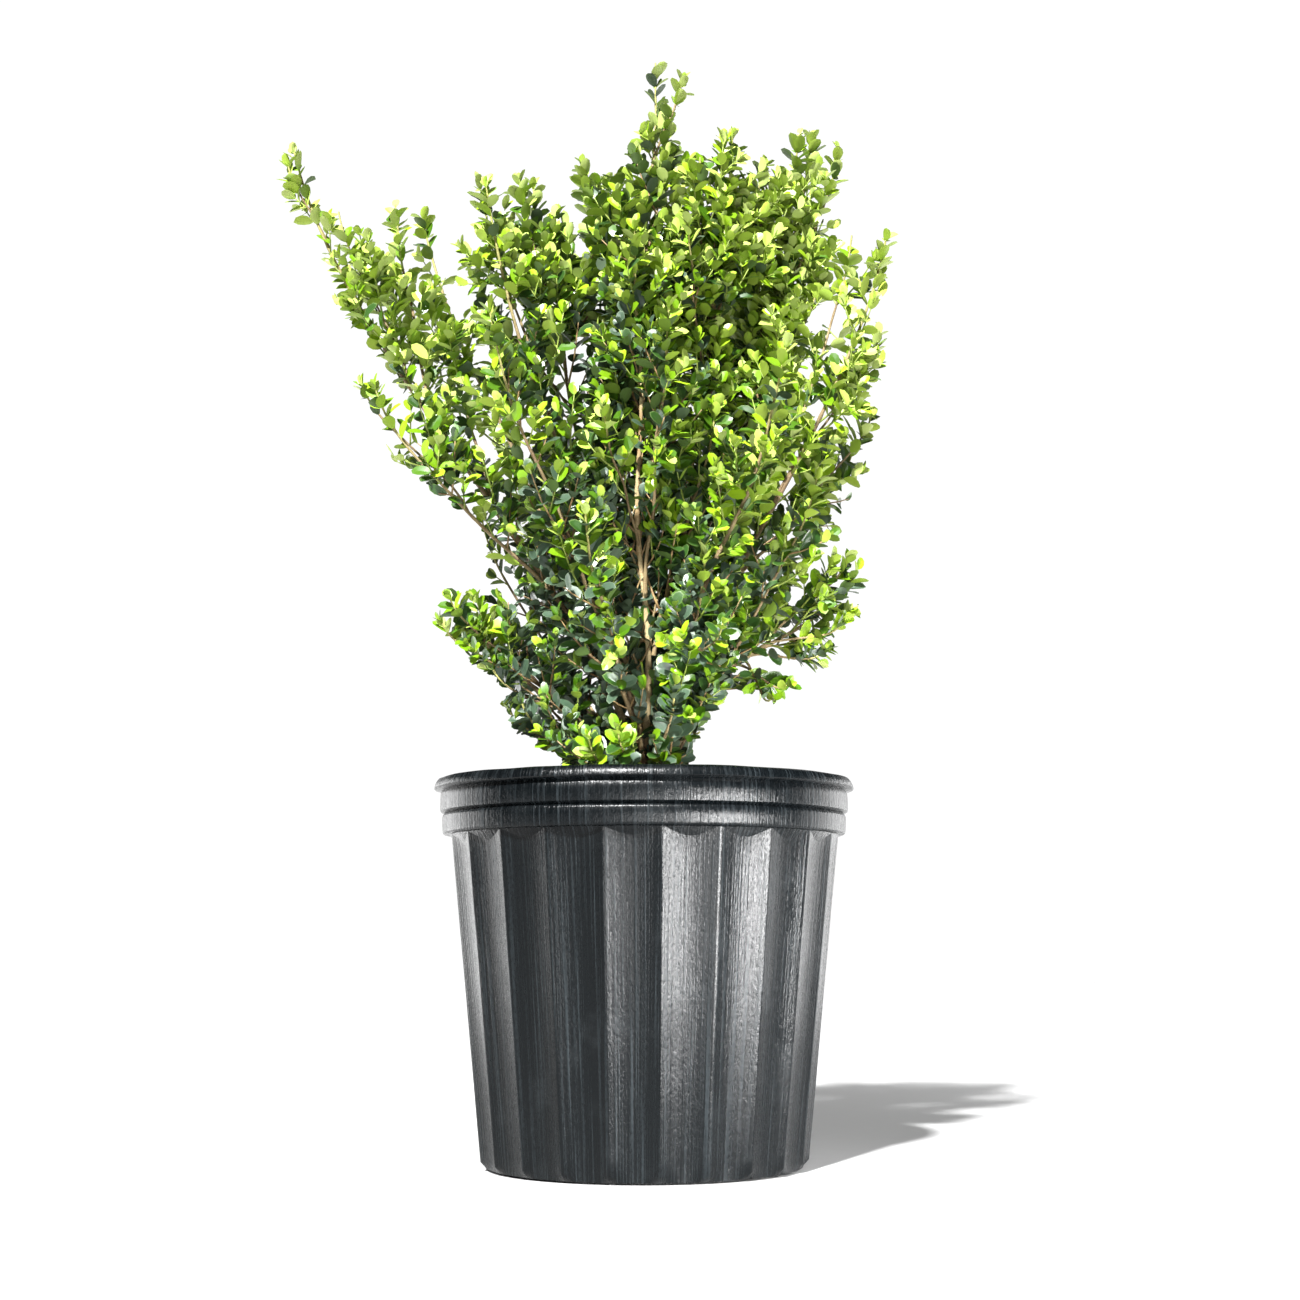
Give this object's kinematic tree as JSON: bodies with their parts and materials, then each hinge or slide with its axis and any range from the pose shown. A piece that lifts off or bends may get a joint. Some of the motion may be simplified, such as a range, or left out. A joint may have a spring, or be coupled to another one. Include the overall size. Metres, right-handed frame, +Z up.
{
  "type": "potted shrub",
  "caption": "Young upright box shrub with several stems from the base and small oval leaves, growing in a round black fluted nursery pot filled with potting mix",
  "frame": {"origin": "centre of the pot's flat underside, where it stands", "axes": "+Z up along the trunk, -Y towards the front, +X to the right seen from the front"},
  "size_m": [0.4388, 0.3393, 0.7841],
  "materials": {
    "pot_plastic": "satin",
    "potting_mix": "matte",
    "bark": "matte",
    "foliage": "satin"
  },
  "bodies": {
    "root": {"pot": "pot_plastic", "potting_mix": "potting_mix", "trunk": "bark", "far_left": "bark", "left_mid": "bark", "left_inner": "bark", "left_upper": "bark", "left_centre": "bark", "leader": "bark", "centre_left": "bark", "right_upper": "bark", "right_centre": "bark", "right_inner": "bark", "far_right": "bark", "right_mid": "bark", "right_low": "bark", "left_low": "bark", "front_low": "bark", "front_left": "bark", "front_right": "bark", "back_low": "bark", "back_left": "bark", "back_right": "bark", "trunk_foliage": "foliage", "far_left_foliage": "foliage", "left_mid_foliage": "foliage", "left_inner_foliage": "foliage", "left_upper_foliage": "foliage", "left_centre_foliage": "foliage", "leader_foliage": "foliage", "centre_left_foliage": "foliage", "right_upper_foliage": "foliage", "right_centre_foliage": "foliage", "right_inner_foliage": "foliage", "far_right_foliage": "foliage", "right_mid_foliage": "foliage", "right_low_foliage": "foliage", "left_low_foliage": "foliage", "front_low_foliage": "foliage", "front_left_foliage": "foliage", "front_right_foliage": "foliage", "back_low_foliage": "foliage", "back_left_foliage": "foliage", "back_right_foliage": "foliage", "low_left": "foliage", "low_right": "foliage", "low_front": "foliage", "low_back": "foliage", "inner_left": "foliage", "inner_right": "foliage", "inner_front": "foliage", "inner_back": "foliage", "outer_left": "foliage", "outer_right": "foliage", "middle_right": "foliage", "middle_back": "foliage", "middle_front": "foliage"}
  },
  "joints": []
}
